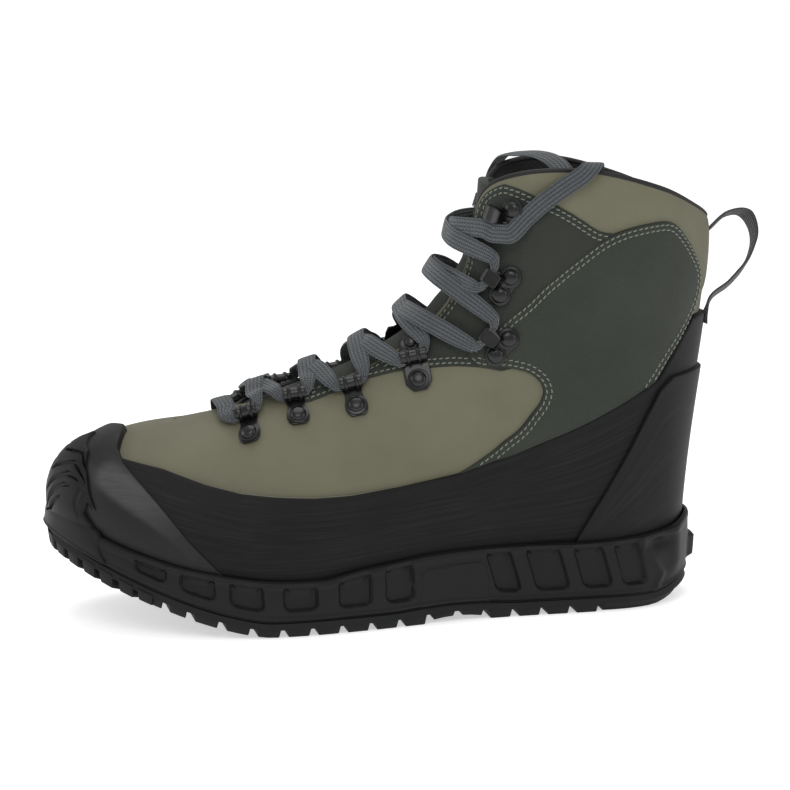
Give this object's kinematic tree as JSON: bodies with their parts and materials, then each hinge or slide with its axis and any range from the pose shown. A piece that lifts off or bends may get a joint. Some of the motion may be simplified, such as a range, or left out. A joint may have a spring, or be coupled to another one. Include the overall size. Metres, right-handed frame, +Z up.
{
  "type": "wading boot",
  "caption": "Ankle-high wading boot for the left foot: coated upper with a rubber rand, toe cap and bumper, lugged rubber sole, and a flat lace through metal loops and hooks.",
  "frame": {"origin": "on the ground under the middle of the heel", "axes": "+Z up; the toe points to -X; the outer (lateral) side of this left boot faces -Y"},
  "size_m": [0.3535, 0.1208, 0.2207],
  "materials": {
    "upper_fabric": "smooth coated cloth in dull olive khaki",
    "tongue_fabric": "dark padded mesh cloth",
    "insole_foam": "soft dark foam, matte",
    "rand_rubber": "matte, finely brushed",
    "sole_rubber": "matte moulded",
    "black_metal": "black, semi-gloss",
    "lace_cord": "flat woven, charcoal grey",
    "webbing": "woven webbing, dark grey"
  },
  "bodies": {
    "root": {"upper": "upper_fabric", "tongue": "tongue_fabric", "insole": "insole_foam", "midsole": "sole_rubber", "outsole": "sole_rubber", "rand": "rand_rubber", "toe_cap": "rand_rubber", "heel_foxing": "rand_rubber", "toe_bumper": "sole_rubber", "pull_loop": "webbing", "lace_bar": "lace_cord", "lace_end_lateral": "lace_cord", "lace_end_medial": "lace_cord", "lace_crossing_1": "lace_cord", "lace_crossing_2": "lace_cord", "lace_crossing_3": "lace_cord", "lace_crossing_4": "lace_cord", "lace_crossing_5": "lace_cord", "lace_crossing_6": "lace_cord", "lace_loop_lateral_1": "black_metal", "lace_loop_lateral_2": "black_metal", "lace_loop_lateral_3": "black_metal", "lace_loop_lateral_4": "black_metal", "lace_hook_lateral_1": "black_metal", "lace_hook_lateral_2": "black_metal", "lace_hook_lateral_3": "black_metal", "lace_loop_medial_1": "black_metal", "lace_loop_medial_2": "black_metal", "lace_loop_medial_3": "black_metal", "lace_loop_medial_4": "black_metal", "lace_hook_medial_1": "black_metal", "lace_hook_medial_2": "black_metal", "lace_hook_medial_3": "black_metal"}
  },
  "joints": []
}
